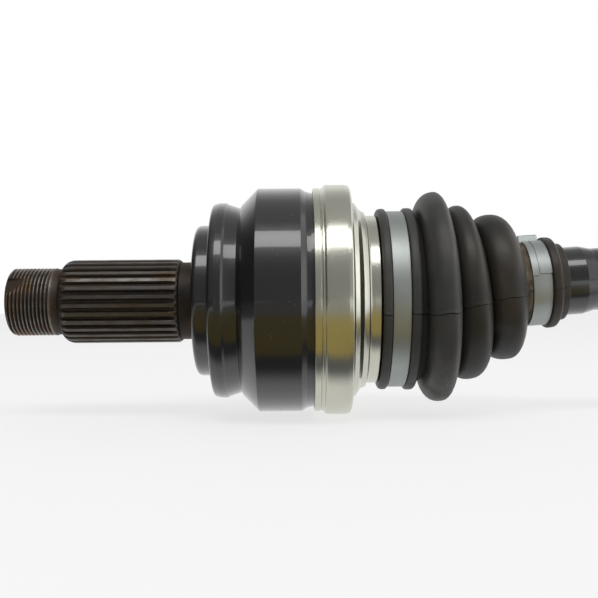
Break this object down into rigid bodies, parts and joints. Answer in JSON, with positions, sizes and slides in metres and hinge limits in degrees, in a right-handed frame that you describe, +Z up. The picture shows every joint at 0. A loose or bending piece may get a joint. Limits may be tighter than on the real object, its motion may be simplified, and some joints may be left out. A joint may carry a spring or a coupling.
{
  "type": "drive shaft",
  "caption": "Car half shaft with a splined stub and fixed ball joint, a bar, and a bolted plunging ball joint.",
  "frame": {"origin": "centre of the hub shoulder face, on the stub's axis", "axes": "+X along the stub's axis towards the differential end, the threaded tip points to -X, +Z up, in the plane in which the outboard joint is bent at rest"},
  "size_m": [0.5896, 0.108, 0.1277],
  "materials": {
    "painted_forging": "gloss black paint, bare oily steel on the stub",
    "painted_bar": "gloss black paint",
    "ground_ring": "turned and ground steel",
    "zinc_sheet": "bright zinc-plated sheet steel",
    "clamp_steel": "satin stainless band",
    "boot_rubber": "matt black-brown rubber",
    "gasket_fibre": "matt gasket sheet",
    "race_steel": "ground hardened steel",
    "bearing_steel": "polished bearing steel",
    "spring_steel": "dark oiled spring steel"
  },
  "bodies": {
    "shaft": {"axle_bar": "painted_bar", "outboard_inner_race": "race_steel", "outboard_circlip": "spring_steel", "outboard_small_clamp": "clamp_steel", "inboard_inner_race": "race_steel", "inboard_circlip": "spring_steel", "inboard_small_clamp": "clamp_steel"},
    "outboard_bellows": {"outboard_boot": "boot_rubber"},
    "outboard_housing": {"outboard_outer_race": "painted_forging", "outboard_collar_can": "zinc_sheet", "outboard_can_seal": "gasket_fibre", "outboard_large_clamp": "clamp_steel"},
    "outboard_cage_pivot": {"outboard_ball_1": "bearing_steel"},
    "outboard_cage_ring": {"outboard_cage": "race_steel", "outboard_ball_2": "bearing_steel", "outboard_ball_3": "bearing_steel", "outboard_ball_4": "bearing_steel", "outboard_ball_5": "bearing_steel", "outboard_ball_6": "bearing_steel"},
    "inboard_bellows": {"inboard_boot": "boot_rubber"},
    "inboard_housing": {"inboard_outer_race": "ground_ring", "inboard_end_cap": "zinc_sheet", "inboard_cap_gasket": "gasket_fibre", "inboard_boot_adapter": "zinc_sheet", "inboard_adapter_gasket": "gasket_fibre", "inboard_large_clamp": "clamp_steel"},
    "inboard_cage_ring": {"inboard_cage": "race_steel", "inboard_ball_1": "bearing_steel", "inboard_ball_2": "bearing_steel", "inboard_ball_3": "bearing_steel", "inboard_ball_4": "bearing_steel", "inboard_ball_5": "bearing_steel", "inboard_ball_6": "bearing_steel"}
  },
  "joints": [
    {"name": "outboard_lift", "type": "hinge", "parent": "shaft", "child": "outboard_bellows", "pos_m": [0.0405, 0, 0], "axis": [0, 1, 0], "range_deg": [-14.5, 7.5], "deforming": ["outboard_boot"]},
    {"name": "outboard_turn", "type": "hinge", "parent": "outboard_bellows", "child": "outboard_housing", "pos_m": [0.0405, 0, 0], "axis": [0, 0, 1], "range_deg": [-11, 11]},
    {"name": "outboard_cage_lift", "type": "hinge", "parent": "shaft", "child": "outboard_cage_pivot", "pos_m": [0.0405, 0, 0], "axis": [0, 1, 0], "range_deg": [-7.25, 3.75]},
    {"name": "outboard_cage_turn", "type": "hinge", "parent": "outboard_cage_pivot", "child": "outboard_cage_ring", "pos_m": [0.0405, 0, 0], "axis": [-0.0305, 0, 0.9995], "range_deg": [-5.5, 5.5]},
    {"name": "inboard_lift", "type": "hinge", "parent": "shaft", "child": "inboard_bellows", "pos_m": [0.47968, 0, 0.02686], "axis": [0, 1, 0], "range_deg": [-14, 14], "deforming": ["inboard_boot"]},
    {"name": "inboard_plunge", "type": "slide", "parent": "inboard_bellows", "child": "inboard_housing", "axis": [0.9981, 0, 0.061], "range_m": [-0.01, 0.01]},
    {"name": "inboard_cage_lift", "type": "hinge", "parent": "shaft", "child": "inboard_cage_ring", "pos_m": [0.47968, 0, 0.02686], "axis": [0, 1, 0], "range_deg": [-7, 7]}
  ],
  "couplings": [
    {"joint": "outboard_cage_lift", "follows": "outboard_lift", "ratio": 0.5},
    {"joint": "outboard_cage_turn", "follows": "outboard_turn", "ratio": 0.5},
    {"joint": "inboard_cage_lift", "follows": "inboard_lift", "ratio": 0.5}
  ]
}
